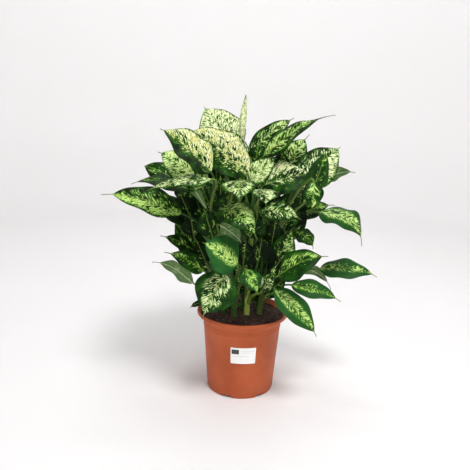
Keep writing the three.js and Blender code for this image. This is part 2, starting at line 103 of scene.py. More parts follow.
# Loose crumbs: least length and its range, and the width and height, least and range, as shares of it
CRUMB = {
    "count": 900, "seed": 7, "spread": 84, "least": 0.8, "range": 2.2, "rarity": 3, "turn": 6.28,
    "width": (0.5, 1), "height": (0.4, 0.5), "raggedness": 0.5,
}

# Canes, and their rings where leaves stood: height of a ring, and its place and width within an internode
CANE = {
    "foot": 6.1, "top": 4.1, "sides": 20, "steps": 56,
    "buried": 20, "lean": 1.4, "internode": 21, "probe": 5.0,
}
CANE_RINGS = [(0.75, 0.5, 0.09), (-0.25, 0.62, 0.07)]
CANE_LOBES = {"count": 3, "depth": 0.15, "climb": 9}

# Tubes: a nudge for a direction of no length, and the scale of their coordinate round them
NUDGE = 1e-9
AROUND = 10

# Leaf stalks, with a grooved sheath along their lower part
STALK = {
    "root": 3.4, "tip": 1.8, "sides": 12, "steps": 26, "drop": 95, "lowest": 8, "rise": 0.5, "turn": 0.25,
    "bend": 30, "reach": 1.5,
}
SHEATH = {"width": 0.9, "length": 0.45, "taper": 0.7}
STALK_GROOVE = {"root": 0.34, "tip": 0.08, "taper": 0.5, "angle": 0.55}

# Blades: rows and columns of their mesh, and their form as in the CAD model; a stub is the half width
# that is left at the base and at the tip
ALONG = 60
ACROSS = 26
THICKNESS = 0.7
EDGE_THINNING = 0.5
SPACING = 1.15
STUB = (2, 0.6)
ARCH_SKEW = 0.35
CUP = 0.3
WAVE = {"share": 0.045, "count": 2.3, "next": 2.4, "other": 1.9}
TWIST_START = 0.3
OUTLINE = {"rise": 0.62, "fall": 0.9, "peak": 0.3578}
RIB_STEP = 1e-4
SEED_STEP = 3.7
# Fine relief of the blades: swellings between side veins, a groove over the rib and a ridge under it
VEIN = {"spacing": 8.5, "lean": 0.8}
QUILT = {"height": 0.28, "from_rib": 6, "from_edge": 0.25}
GROOVE = {"depth": 0.7, "width": 1.6}
RIDGE = {"height": (1.6, 0.3), "width": (2, 1.1)}

# Rolled young leaf at the top, a scroll whose overlapping edge winds round it
SPIRE = {
    "stem": 6, "index": 60, "base": (-13, -10, 520), "bend": (-15, -11, 566), "tip": (-9, -12, 608),
    "radius": 7, "ends": (2.4, 0.7), "sides": 36, "steps": 60, "seed": 77, "look": (0.85, 0.85, 0.02, 0),
}
SCROLL = {"overlap": 0.14, "start": 0.9, "turn": 2.2}

# Each stem: the foot of its cane on the soil, and the top of the cane
STEMS = [
    ((-38, -6), (-64, -14, 320)),
    ((-17, -27), (-34, -56, 325)),
    ((9, -16), (12, -40, 345)),
    ((36, -8), (60, -20, 325)),
    ((-30, 27), (-52, 46, 345)),
    ((0, 13), (-6, 14, 410)),
    ((32, 27), (50, 44, 345)),
]

# Each leaf: stem, blade base, blade tip, width, azimuth and elevation that the upper side faces,
# arch, twist, share of the thin tail, fold
LEAVES = [
    (2, (-1, -64, 463), (-116, -54, 540), 98, (270, 46), 0.1, 0, 0.06, 24),
    (1, (-65, -128, 471), (-154, -136, 543), 90, (266, 60), 0.08, 0, 0.06, 26),
    (1, (-80, -56, 438), (-169, -66, 498), 88, (262, 48), 0.08, 0, 0.06, 14),
    (5, (-28, 36, 492), (-96, 70, 583), 102, (262, 36), 0.08, 0, 0.05, 12),
    (6, (1, 34, 494), (90, 50, 567), 46, (285, 40), 0.1, 0, 0.08, 16),
    (3, (30, -26, 494), (159, -46, 576), 54, (290, 50), 0.12, 60, 0.08, 18),
    (7, (72, 18, 468), (122, 34, 536), 60, (280, 38), 0.08, 0, 0.18, 16),
    (4, (100, -40, 442), (182, 14, 514), 80, (290, 40), 0.06, 0, 0.06, 14),
    (4, (118, -80, 430), (142, -74, 512), 50, (300, 10), 0.04, 0, 0.06, 16),
    (4, (117, -130, 459), (115, -142, 413), 38, (270, 20), 0.1, 0, 0.06, 16),
    (7, (156, 24, 446), (220, 34, 462), 40, (80, 40), 0.15, 0, 0.12, 16),
    (3, (33, -48, 441), (124, -32, 463), 88, (270, 42), 0.06, 0, 0.08, 26),
    (3, (1, -38, 446), (55, -32, 492), 54, (270, 40), 0.08, 0, 0.08, 16),
    (2, (-18, -88, 452), (-12, -168, 428), 68, (270, 60), 0.1, 0, 0.06, 14),
    (3, (32, -110, 441), (33, -176, 423), 52, (270, 60), 0.1, 0, 0.06, 14),
    (2, (-45, -92, 401), (22, -150, 356), 72, (278, 50), 0.2, 0, 0.1, 18),
    (1, (-126, -50, 380), (-280, -54, 411), 72, (265, 50), 0.1, 0, 0.14, 26),
    (5, (-120, 36, 412), (-239, 24, 423), 58, (240, 70), 0.12, 0, 0.1, 16),
    (5, (-127, 76, 414), (-226, 96, 454), 66, (260, 40), 0.1, 0, 0.02, 16),
    (1, (-62, -162, 462), (-170, -178, 440), 54, (270, 76), 0.06, 0, 0.1, 14),
    (1, (-79, 4, 262), (-158, 40, 356), 62, (255, 35), 0.08, 30, 0.12, 18),
    (1, (-104, -12, 297), (-168, -44, 332), 36, (265, 40), 0.12, 0, 0.12, 18),
    (1, (-80, -54, 267), (-154, -78, 308), 42, (265, 45), 0.12, 0, 0.12, 18),
    (1, (-99, -64, 244), (-181, -60, 282), 58, (80, 40), 0.12, 0, 0.15, 18),
    (2, (-48, -72, 364), (-6, -104, 338), 50, (90, 20), 0.1, 0, 0.1, 14),
    (2, (-12, -118, 302), (-77, -138, 345), 80, (268, 42), 0.08, 0, 0.06, 16),
    (2, (-35, -114, 281), (-75, -136, 197), 84, (270, 30), 0.12, 0, 0.14, 12),
    (3, (2, -104, 288), (28, -146, 252), 44, (282, 40), 0.1, 0, 0.1, 14),
    (3, (36, -84, 240), (60, -104, 289), 36, (280, 40), 0.12, 0, 0.1, 16),
    (4, (61, -100, 249), (144, -106, 160), 54, (280, 40), 0.12, 0, 0.1, 14),
    (4, (98, -26, 236), (197, -44, 210), 46, (275, 50), 0.12, 0, 0.12, 16),
    (7, (100, 36, 256), (190, 40, 207), 46, (90, 50), 0.2, 0, 0.14, 16),
    (7, (160, 20, 259), (278, 10, 249), 60, (270, 60), 0.12, 0, 0.1, 14),
    (4, (65, -104, 278), (153, -122, 324), 66, (270, 50), 0.15, 0, 0.1, 18),
    (7, (149, 0, 384), (230, -40, 326), 76, (300, 50), 0.3, 0, 0.12, 14),
    (7, (106, 54, 364), (187, 58, 389), 50, (270, 50), 0.12, 0, 0.16, 16),
    (4, (30, -84, 399), (101, -112, 388), 50, (272, 42), 0.14, 0, 0.1, 14),
    (6, (20, 100, 480), (110, 170, 530), 76, (60, 45), 0.12, 0, 0.08, 14),
    (6, (-14, 110, 470), (-60, 210, 520), 78, (110, 45), 0.12, 0, 0.08, 14),
    (5, (-76, 100, 410), (-150, 170, 450), 74, (130, 45), 0.12, 0, 0.08, 14),
    (7, (70, 100, 400), (140, 170, 450), 74, (50, 45), 0.12, 0, 0.08, 14),
    (6, (-10, 90, 330), (-14, 160, 440), 80, (90, 25), 0.15, 0, 0.08, 14),
    (5, (-66, 96, 290), (-116, 150, 380), 72, (120, 35), 0.15, 0, 0.08, 14),
    (7, (76, 84, 290), (120, 140, 380), 70, (50, 35), 0.15, 0, 0.08, 14),
    (6, (-14, 110, 262), (-12, 210, 232), 72, (90, 60), 0.15, 0, 0.08, 14),
    (6, (14, 80, 256), (54, 74, 346), 60, (275, 30), 0.1, 0, 0.08, 14),
    (1, (-78, -42, 391), (-155, -72, 446), 32, (50, 35), 0.22, 0, 0.08, 14),
    (4, (60, -32, 278), (90, -54, 360), 56, (290, 35), 0.08, 0, 0.08, 14),
]

# Leaves that grow as one with their stem
SMALL_LEAVES = [
    (1, (-80, -40, 197), (-107, -40, 183), 16, (270, 60), 0.1, 0, 0.1, 18),
    (7, (103, 0, 342), (139, -8, 308), 44, (300, 40), 0.25, 0, 0.12, 14),
    (5, (-1, 44, 330), (19, 54, 420), 70, (270, 30), 0.08, 0, 0.08, 14),
    (7, (100, 70, 316), (118, 80, 398), 50, (280, 30), 0.08, 0, 0.08, 14),
    (6, (-5, -6, 432), (-23, 2, 500), 60, (275, 30), 0.08, 0, 0.08, 14),
    (5, (-75, 26, 382), (-103, 42, 440), 56, (262, 30), 0.08, 0, 0.08, 14),
    (4, (78, -14, 350), (98, -10, 420), 46, (280, 30), 0.08, 0, 0.08, 14),
    (7, (34, 24, 224), (38, 22, 294), 46, (275, 30), 0.08, 0, 0.08, 14),
    (2, (-48, -40, 379), (-52, -52, 462), 44, (265, 30), 0.08, 0, 0.08, 14),
    (3, (23, -24, 399), (20, -24, 455), 40, (275, 30), 0.08, 0, 0.08, 14),
    (4, (50, -48, 222), (87, -54, 261), 36, (275, 40), 0.1, 0, 0.08, 14),
    (3, (-2, -54, 281), (2, -62, 336), 56, (272, 25), 0.08, 0, 0.08, 14),
    (4, (35, -46, 284), (45, -54, 332), 50, (275, 30), 0.08, 0, 0.08, 14),
    (3, (9, -56, 337), (23, -66, 387), 54, (280, 25), 0.08, 0, 0.08, 14),
    (7, (36, 20, 307), (60, 24, 360), 52, (280, 30), 0.08, 0, 0.08, 14),
    (1, (-65, -40, 334), (-82, -44, 391), 52, (262, 30), 0.08, 0, 0.08, 14),
    (2, (-39, -48, 379), (-32, -52, 433), 52, (268, 30), 0.08, 0, 0.08, 14),
    (4, (75, -26, 378), (86, -30, 431), 52, (282, 30), 0.08, 0, 0.08, 14),
    (6, (7, -10, 389), (19, -6, 443), 56, (275, 30), 0.08, 0, 0.08, 14),
    (5, (-83, 20, 340), (-103, 24, 393), 52, (262, 30), 0.08, 0, 0.08, 14),
    (4, (56, -36, 236), (67, -44, 287), 38, (275, 20), 0.08, 0, 0.08, 14),
    (7, (100, 10, 349), (108, 14, 403), 46, (282, 30), 0.08, 0, 0.08, 14),
    (5, (-32, 86, 386), (-64, 128, 446), 60, (110, 35), 0.08, 0, 0.08, 14),
    (7, (72, 74, 336), (100, 106, 416), 60, (70, 35), 0.08, 0, 0.08, 14),
    (6, (-6, 96, 281), (2, 140, 355), 60, (90, 35), 0.08, 0, 0.08, 14),
    (6, (30, 54, 430), (50, 86, 500), 60, (80, 35), 0.08, 0, 0.08, 14),
    (3, (36, 13, 337), (44, 7, 399), 52, (274, 28), 0.08, 0, 0.08, 14),
    (6, (12, 13, 461), (20, 7, 517), 46, (274, 28), 0.08, 0, 0.08, 14),
    (7, (61, 13, 451), (69, 7, 505), 46, (274, 28), 0.08, 0, 0.08, 14),
    (5, (-135, 63, 383), (-127, 57, 435), 46, (274, 28), 0.08, 0, 0.08, 14),
    (3, (22, 13, 239), (30, 7, 295), 44, (274, 28), 0.08, 0, 0.08, 14),
    (2, (23, 13, 184), (31, 7, 230), 36, (274, 28), 0.08, 0, 0.08, 14),
    (7, (89, 23, 382), (97, 17, 436), 42, (274, 28), 0.08, 0, 0.08, 14),
    (5, (-115, 6, 352), (-200, -6, 413), 50, (268, 36), 0.08, 0, 0.08, 14),
    (2, (-40, -40, 276), (-53, -46, 326), 34, (272, 26), 0.08, 0, 0.08, 14),
    (3, (4, -40, 259), (10, -46, 312), 34, (272, 26), 0.08, 0, 0.08, 14),
    (4, (53, -40, 262), (77, -46, 300), 34, (272, 26), 0.08, 0, 0.08, 14),
    (7, (68, 10, 243), (95, 4, 278), 34, (272, 26), 0.08, 0, 0.08, 14),
    (5, (-68, 30, 239), (-86, 24, 295), 40, (272, 26), 0.08, 0, 0.08, 14),
    (6, (-22, 30, 251), (-24, 24, 311), 30, (272, 26), 0.08, 0, 0.08, 14),
    (1, (-78, -20, 275), (-99, -26, 324), 38, (272, 26), 0.08, 0, 0.08, 14),
    (3, (27, -60, 291), (32, -66, 341), 40, (272, 26), 0.08, 0, 0.08, 14),
    (4, (53, -40, 324), (58, -46, 375), 44, (272, 26), 0.08, 0, 0.08, 14),
    (2, (-25, -50, 340), (-34, -56, 396), 46, (272, 26), 0.08, 0, 0.08, 14),
    (5, (-114, 0, 364), (-134, -6, 411), 50, (272, 26), 0.08, 0, 0.08, 14),
    (1, (-104, -16, 328), (-112, -22, 378), 44, (272, 26), 0.08, 0, 0.08, 14),
    (3, (52, -4, 379), (58, -10, 429), 44, (272, 26), 0.08, 0, 0.08, 14),
    (7, (109, 16, 390), (110, 10, 432), 40, (272, 26), 0.08, 0, 0.08, 14),
    (2, (-7, -30, 237), (-12, -36, 288), 26, (272, 26), 0.08, 0, 0.08, 14),
    (3, (28, -44, 228), (30, -50, 276), 26, (272, 26), 0.08, 0, 0.08, 14),
    (4, (51, -36, 208), (66, -42, 252), 26, (272, 26), 0.08, 0, 0.08, 14),
    (6, (-61, 0, 437), (-64, -6, 478), 36, (272, 26), 0.08, 0, 0.08, 14),
    (2, (-9, -10, 206), (-9, -16, 251), 26, (272, 26), 0.08, 0, 0.08, 14),
]

# Marking of each leaf: how much of it is pale (a small share also makes its green much darker, painted
# shade),
# tone from lime (0) to cream (1), width of the green margin, and how far the marking leans to one half
# (positive:
# the half to the right of the rib, seen from its base); on several leaves the lean keeps the lower half of a
# fold dark green, painted shade of the fold
# DARK and SHADED go on leaves inside the plant: with their few pale marks, upper_skin paints them much
# darker green, painted shade of the leaves above
DARK = (0.16, 0.2, 0.3, 0)
SHADED = (0.02, 0.2, 0.3, 0)
MIXED = (0.5, 0.6, 0.2, 0)
FLECKED = (0.36, 0.4, 0.24, 0)
SPARSE = (0.3, 0.4, 0.25, 0)
LOOKS = [
    (0.48, 0.97, 0.1, 0.25), (0.46, 0.94, 0.1, 0.3), (0.7, 0.4, 0.08, 0.05), (0.7, 0.82, 0.06, 0),
    (0.42, 0.5, 0.24, 0), (0.42, 0.3, 0.22, 0), (0.48, 0.4, 0.16, 0), (0.52, 0.8, 0.12, 0.1),
    (0.2, 0.2, 0.36, 0), (0.34, 0.3, 0.3, 0), (0.3, 0.4, 0.2, 0), (0.34, 0.86, 0.1, -0.3),
    (0.6, 0.6, 0.14, 0), (0.46, 0.6, 0.12, 0), (0.5, 0.8, 0.12, 0), (0.5, 0.3, 0.22, -0.2),
    (0.46, 0.15, 0.16, -0.22), DARK, (0.22, 0.3, 0.3, 0), (0.5, 0.7, 0.16, 0),
    DARK, DARK, (0.24, 0.15, 0.34, 0), (0.3, 0.4, 0.2, 0),
    (0.25, 0.5, 0.3, 0), (0.64, 0.2, 0.58, 0), (0.46, 0.72, 0.36, 0), (0.46, 0.1, 0.42, 0),
    (0.5, 0.7, 0.2, 0), (0.54, 0.25, 0.5, 0), (0.36, 0.1, 0.5, 0), (0.3, 0.4, 0.2, 0),
    (0.42, 0.25, 0.48, 0), (0.26, 0.15, 0.36, -0.25), (0.56, 0.35, 0.44, 0), (0.3, 0.1, 0.3, 0),
    (0.4, 0.6, 0.14, 0), MIXED, (0.7, 0.8, 0.14, 0), (0.5, 0.4, 0.24, 0),
    (0.62, 0.7, 0.16, 0), MIXED, DARK, (0.4, 0.3, 0.3, 0),
    (0.46, 0.3, 0.34, 0), DARK, DARK, (0.34, 0.4, 0.2, 0.2),
]
SMALL_LOOKS = [
    SHADED, DARK, FLECKED, DARK, DARK, DARK,
    SPARSE, DARK, DARK, DARK, DARK, SHADED,
    SHADED, DARK, DARK, DARK, DARK, DARK,
    DARK, DARK, FLECKED, SHADED, DARK, DARK,
    DARK, FLECKED, DARK, DARK, DARK, SPARSE,
    DARK, DARK, DARK, DARK, SPARSE, SHADED,
    SHADED, SHADED, FLECKED, SHADED, SHADED, SHADED,
    SHADED, FLECKED, SHADED, SHADED, SHADED, SPARSE,
    FLECKED, SHADED, SHADED, SHADED, SPARSE,
]

# Marking of each cane and stalk: how bright its skin is, and how pale its foot
CANE_LOOKS = [(0, 0.2, 0, 0), (0.05, 0.2, 0, 0), (1, 0.3, 0, 0), (0.25, 0.2, 0, 0)] + [(0, 0.2, 0, 0)] * 3
STALK_LOOK = {"brightest": 0.3, "vary": 5, "foot": 0.8}


def mix(start, end, share):
    return start + (end - start) * share


def unit(vectors):
    return vectors / np.linalg.norm(vectors, axis=-1, keepdims=True)


def falloff(distance):
    """1 at no distance, and down to 0 on both sides."""
    return np.exp(-(distance**2))


class Blade:
    """One leaf blade: a surface over u, from base to tip, and v, from edge to edge."""

    def __init__(self, row, look, index):
        self.stem, base, tip, self.width, (azimuth, elevation), arch, twist, self.tail, fold = row
        self.look = look
        self.index = index
        self.base = np.array(base, float)
        self.chord = np.array(tip, float) - self.base
        self.length = np.linalg.norm(self.chord)
        away = math.radians(azimuth)
        up = math.radians(elevation)
        face = np.array((math.cos(away) * math.cos(up), math.sin(away) * math.cos(up), math.sin(up)))
        ahead = self.chord / self.length
        self.upper = unit(face - ahead * face.dot(ahead))
        self.arch = arch * self.length
        self.twist = math.radians(twist)
        self.fold = math.radians(fold)

    def rib(self, u):
        rise = 4 * u * (1 - u) * (1 + ARCH_SKEW * (2 * u - 1))
        return self.base + self.chord * u[..., None] + self.upper * (self.arch * rise)[..., None]

    def ahead(self, u):
        return unit(self.rib(u + RIB_STEP) - self.rib(u - RIB_STEP))

    def directions(self, u):
        """Directions across the blade and out of its upper side, turned by the twist."""
        ahead = self.ahead(u)
        upright = unit(self.upper - ahead * (ahead @ self.upper)[..., None])
        sideways = np.cross(ahead, upright)
        angle = (self.twist * np.maximum(u - TWIST_START, 0) / (1 - TWIST_START))[..., None]
        across = sideways * np.cos(angle) + upright * np.sin(angle)
        normal = upright * np.cos(angle) - sideways * np.sin(angle)
        return across, normal

    def bulge(self, u):
        """How wide the blade is at u, as a share of its full width."""
        k = np.minimum(u / (1 - self.tail), 1)
        return k ** OUTLINE["rise"] * (1 - k) ** OUTLINE["fall"] / OUTLINE["peak"]

    def lift(self, u, v, half):
        """Height over the rib, halfway through the blade: fold, cup, waves and fine relief."""
        edge = np.abs(v)
        aside = half * edge
        bulge = self.bulge(u)
        start = WAVE["next"] * self.index + np.where(v > 0, WAVE["other"], 0)
        ripple = WAVE["share"] * self.width * bulge * np.sin(FULL_TURN * WAVE["count"] * u + start)
        lift = half * (edge * math.sin(self.fold) - CUP * edge * edge) + ripple * edge * edge
        vein = (u * self.length - VEIN["lean"] * aside) / VEIN["spacing"]
        swelling = QUILT["height"] * np.sin(FULL_TURN * vein) * np.clip(aside / QUILT["from_rib"], 0, 1)
        lift = lift + swelling * np.clip((1 - edge) / QUILT["from_edge"], 0, 1)
        return lift - GROOVE["depth"] * falloff(aside / GROOVE["width"]) * bulge

    def points(self, u, v, layer):
        """The points of the upper side (layer 1) or underside (-1), and half the width at each."""
        across, normal = self.directions(u)
        half = np.hypot(self.width / 2 * self.bulge(u), mix(*STUB, u))
        edge = np.abs(v)
        thickness = THICKNESS * (1 - EDGE_THINNING * edge**4)
        offset = self.lift(u, v, half) + layer * thickness / 2
        if layer < 0:
            offset = offset - mix(*RIDGE["height"], u) * falloff(half * edge / mix(*RIDGE["width"], u))
        aside = across * (half * v * math.cos(self.fold))[..., None]
        return self.rib(u) + aside + normal * offset[..., None], half


class Mesher:
    """Collects points, faces and their coordinates for one object."""

    def __init__(self):
        self.points, self.faces, self.slots = [], [], []
        self.decimetres, self.share, self.look, self.seed = [], [], [], []

    def face(self, corners, slot):
        self.faces.append(corners)
        self.slots.append(slot)

    def grid(self, places, decimetres, share, look, seed, slot, flip=False, closed=False):
        """Adds a grid of points, rows by columns; closed joins the last column to the first."""
        rows, columns = places.shape[:2]
        first = len(self.points)
        self.points.extend(places.reshape(-1, 3))
        self.decimetres.extend(decimetres.reshape(-1, 2))
        self.share.extend(share.reshape(-1, 2))
        self.look.extend([look] * (rows * columns))
        self.seed.extend([seed] * (rows * columns))
        for i in range(rows - 1):
            for j in range(columns - (0 if closed else 1)):
                k = (j + 1) % columns
                corners = [first + i * columns + j, first + i * columns + k]
                corners += [first + (i + 1) * columns + k, first + (i + 1) * columns + j]
                self.face(corners[::-1] if flip else corners, slot)
        return first

    def join(self, one, other, edge, slot):
        """Closes the gap between two grids along an edge, a closed list of the grids' points."""
        for a, b in zip(edge, edge[1:] + edge[:1]):
            self.face([one + a, one + b, other + b, other + a], slot)

    def made(self, name, materials):
        mesh = bpy.data.meshes.new(name)
        mesh.from_pydata([Vector(p) * MM for p in self.points], [], self.faces)
        corners = np.zeros(len(mesh.loops), int)
        mesh.loops.foreach_get("vertex_index", corners)
        for layer, values in (("share", self.share), ("blade", self.decimetres)):
            uv = mesh.uv_layers.new(name=layer)
            uv.data.foreach_set("uv", np.array(values, float)[corners].ravel())
        marking = mesh.attributes.new("marking", "FLOAT_COLOR", "POINT")
        marking.data.foreach_set("color", np.array(self.look, float).ravel())
        seed = mesh.attributes.new("seed", "FLOAT", "POINT")
        seed.data.foreach_set("value", np.array(self.seed, float))
        mesh.polygons.foreach_set("material_index", self.slots)
        for material in materials:
            mesh.materials.append(material)
        mesh.update()
        piece = bpy.data.objects.new(name, mesh)
        bpy.context.scene.collection.objects.link(piece)
        return smooth(piece)


def smooth(piece):
    piece.data.polygons.foreach_set("use_smooth", [True] * len(piece.data.polygons))
    return piece


def rim(rows, columns):
    """The border points of a grid, in order round it."""
    last = (rows - 1) * columns
    edge = [i * columns for i in range(rows)]
    edge += [last + j for j in range(1, columns)]
    edge += [i * columns + columns - 1 for i in range(rows - 2, -1, -1)]
    return edge + [j for j in range(columns - 2, 0, -1)]


def add_blade(mesher, blade, upper_slot, under_slot):
    rows = np.linspace(0, 1, ALONG + 1) ** SPACING
    u, v = np.meshgrid(rows, np.linspace(-1, 1, ACROSS + 1), indexing="ij")
    share = np.stack([u, v / 2 + 0.5], -1)
    firsts = []
    for layer, slot in ((1, upper_slot), (-1, under_slot)):
        places, half = blade.points(u, v, layer)
        flat = np.stack([u * blade.length / DECIMETRE, half * v / DECIMETRE], -1)
        firsts.append(mesher.grid(places, flat, share, blade.look, SEED_STEP * blade.index, slot, layer > 0))
    mesher.join(*firsts, rim(*u.shape), upper_slot)


def add_tube(mesher, path, radius, sides, seed, slot, look, groove=None, up=(0, 0, 1)):
    """Sweeps a ring along path, an array of points; groove(share) flattens its upper side."""
    steps = len(path)
    ahead = unit(np.gradient(path, axis=0))
    side = unit(np.cross(ahead[0], up) + NUDGE)
    rings, flat, share = [], [], []
    length = np.r_[0, np.cumsum(np.linalg.norm(np.diff(path, axis=0), axis=1))]
    angles = np.linspace(0, FULL_TURN, sides, endpoint=False)
    for i in range(steps):
        done = i / (steps - 1)
        side = unit(side - ahead[i] * side.dot(ahead[i]))
        top = np.cross(side, ahead[i])
        size = radius(done, angles)
        if groove:
            size = size * (1 - groove(done) * falloff((angles - math.pi / 2) / STALK_GROOVE["angle"]))
        ring = path[i] + side * (size * np.cos(angles))[:, None] + top * (size * np.sin(angles))[:, None]
        rings.append(ring)
        flat.append(np.stack([np.full(sides, length[i] / DECIMETRE), angles / AROUND], -1))
        share.append(np.stack([np.full(sides, done), angles / FULL_TURN], -1))
    first = mesher.grid(np.array(rings), np.array(flat), np.array(share), look, seed, slot, closed=True)
    for start, order in ((first, -1), (first + (steps - 1) * sides, 1)):
        mesher.face([start + j for j in range(sides)][::order], slot)


def cane_point(stem, height):
    (foot_x, foot_y), (top_x, top_y, top) = STEMS[stem - 1]
    lean = (np.maximum(height - SOIL_TOP, 0) / (top - SOIL_TOP)) ** CANE["lean"]
    return np.stack([mix(foot_x, top_x, lean), mix(foot_y, top_y, lean), height], -1)


def stalk_path(stem, base, ahead):
    """A stalk's way from its cane, along the cane at first, to a little past the base of its blade."""
    top = STEMS[stem - 1][1][2]
    height = min(max(base[2] - STALK["drop"], SOIL_TOP + STALK["lowest"]), top)
    root = cane_point(stem, np.array(float(height)))
    above, below = (cane_point(stem, np.array(height + step)) for step in (CANE["probe"], -CANE["probe"]))
    up = unit(above - below)
    span = np.linalg.norm(base - root)
    points = [root, root + up * STALK["rise"] * span]
    points.append(base - ahead * min(STALK["turn"] * span, STALK["bend"]))
    points.append(base + ahead * STALK["reach"])
    t = np.linspace(0, 1, STALK["steps"] + 1)[:, None]
    weights = [(1 - t) ** 3, 3 * t * (1 - t) ** 2, 3 * t * t * (1 - t), t**3]
    return sum(weight * point for weight, point in zip(weights, points))


def stalk_radius(share, angles):
    """A sheath widens the lower part of a stalk to both sides."""
    sheath = SHEATH["width"] * np.clip(1 - share / SHEATH["length"], 0, 1) ** SHEATH["taper"]
    return mix(STALK["root"], STALK["tip"], share) + sheath * np.abs(np.cos(angles))


def stalk_groove(share):
    return STALK_GROOVE["root"] * (1 - share) ** STALK_GROOVE["taper"] + STALK_GROOVE["tip"]


def cane_radius(stem):
    top = STEMS[stem - 1][1][2]
    tall = top - SOIL_TOP + CANE["buried"]

    def radius(share, angles):
        height = share * tall
        place = (height / CANE["internode"]) % 1
        rings = sum(rise * falloff((place - middle) / width) for rise, middle, width in CANE_RINGS)
        lobes = CANE_LOBES["depth"] * np.sin(CANE_LOBES["count"] * angles + height / CANE_LOBES["climb"])
        return mix(CANE["foot"], CANE["top"], share) + rings + lobes

    return radius


# Materials


class Tree:
    """A few short calls for building a material's nodes."""

    def __init__(self, name):
        self.material = bpy.data.materials.new(name)
        self.material.use_nodes = True
        self.nodes = self.material.node_tree.nodes
        self.links = self.material.node_tree.links
        self.shader = self.nodes["Principled BSDF"]

    def feed(self, socket, value):
        if isinstance(value, bpy.types.NodeSocket):
            self.links.new(value, socket)
        else:
            socket.default_value = value

    def node(self, kind, inputs, **settings):
        node = self.nodes.new("ShaderNode" + kind)
        for key, value in settings.items():
            setattr(node, key, value)
        for key, value in inputs.items():
            self.feed(node.inputs[key], value)
        return node

    def math(self, operation, *values):
        return self.node("Math", dict(enumerate(values)), operation=operation).outputs[0]

    def times(self, one, other):
        return self.math("MULTIPLY", one, other)

    def plus(self, one, other):
        return self.math("ADD", one, other)

    def minus(self, one, other):
        return self.math("SUBTRACT", one, other)

    def scaled(self, value, factor, offset):
        return self.math("MULTIPLY_ADD", value, factor, offset)

    def step(self, value, low, high):
        """0 at low, 1 at high, smooth between and level beyond; low may be the larger one."""
        inputs = {"Value": value, "From Min": low, "From Max": high}
        return self.node("MapRange", inputs, interpolation_type="SMOOTHSTEP").outputs[0]

    def noise(self, vector, scale=1.0, detail=2.0, rough=0.5):
        inputs = {"Vector": vector, "Scale": scale, "Detail": detail, "Roughness": rough}
        return self.node("TexNoise", inputs).outputs["Fac"]

    def cells(self, x, y, seed, counts, **settings):
        """Noise with so many cells for each unit of x and of y."""
        inputs = {"X": self.times(x, counts[0]), "Y": self.times(y, counts[1]), "Z": seed}
        return self.noise(self.node("CombineXYZ", inputs).outputs[0], **settings)

    def stretched(self, counts, detail, rough=0.5):
        """Noise with so many cells a metre along each axis of the object."""
        mapping = self.node("Mapping", {"Vector": self.place(), "Scale": counts})
        return self.noise(mapping.outputs[0], 1.0, detail, rough)

    def colour(self, share, one, other):
        node = self.node("Mix", {0: share}, data_type="RGBA")
        for socket, value in ((node.inputs[6], one), (node.inputs[7], other)):
            self.feed(socket, srgb(value) if isinstance(value, str) else value)
        return node.outputs[2]

    def uv(self, name):
        uv = self.node("UVMap", {}, uv_map=name).outputs[0]
        parts = self.node("SeparateXYZ", {"Vector": uv}).outputs
        return parts[0], parts[1]

    def look(self):
        """The four numbers of the marking, and the seed, as set on the mesh."""
        marking = self.node("Attribute", {}, attribute_name="marking").outputs
        parts = self.node("SeparateColor", {"Color": marking["Color"]}).outputs
        seed = self.node("Attribute", {}, attribute_name="seed").outputs["Fac"]
        return (*parts, marking["Alpha"], seed)

    def place(self):
        return self.node("TexCoord", {}).outputs["Object"]

    def bump(self, height, distance, strength):
        inputs = {"Height": height, "Distance": distance, "Strength": strength}
        self.links.new(self.node("Bump", inputs).outputs[0], self.shader.inputs["Normal"])

    def finish(self, colour, roughness, specular=0.5):
        self.links.new(colour, self.shader.inputs["Base Color"])
        self.links.new(roughness, self.shader.inputs["Roughness"])
        self.shader.inputs["Specular IOR Level"].default_value = specular
        return self.material


def srgb(code):
    """Linear colour of a hexadecimal sRGB code."""
    parts = [int(code[i : i + 2], 16) / 255 for i in (0, 2, 4)]
    return tuple(p / 12.92 if p <= 0.04045 else ((p + 0.055) / 1.055) ** 2.4 for p in parts) + (1,)


# Leaf skin: noise cells in a decimetre, along the blade and across it or along its side veins
CELLS = {"warp": (11, 11), "streaks": (32, 14), "patches": (6, 7), "flecks": (52, 17), "fine": (90, 90)}
# How much each thing adds to the level: the skin is pale where the level is high
LEVEL = {"streaks": 0.7, "patches": 0.3, "pale": 0.24, "lean": 0.5}
MARKS = {"warp": 0.09, "ragged_margin": 0.9, "fleck_rise": 0.2, "fleck_depth": -0.96, "rib_taper": 0.008}
# The values at which each mark starts and is full
STEPS = {
    "inside": (-0.06, 0.1),
    "before_tip": (0.97, 0.86),
    "pale": (0.498, 0.52),
    "fleck": (0.425, 0.45),
    "halo": (0.455, 0.505),
    "halo_inside": (-0.16, 0.1),
    "rib": (0.02, 0.008),
    "withered": (0.93, 0.99),
    "dark_patches": (0.35, 0.7),
    "painted_shade_few_marks": (0.22, 0.04),
    "wide_margin": (0.28, 0.58),
    "aged_patches": (0.45, 0.64),
    "aged_tone": (0.82, 0.96),
}


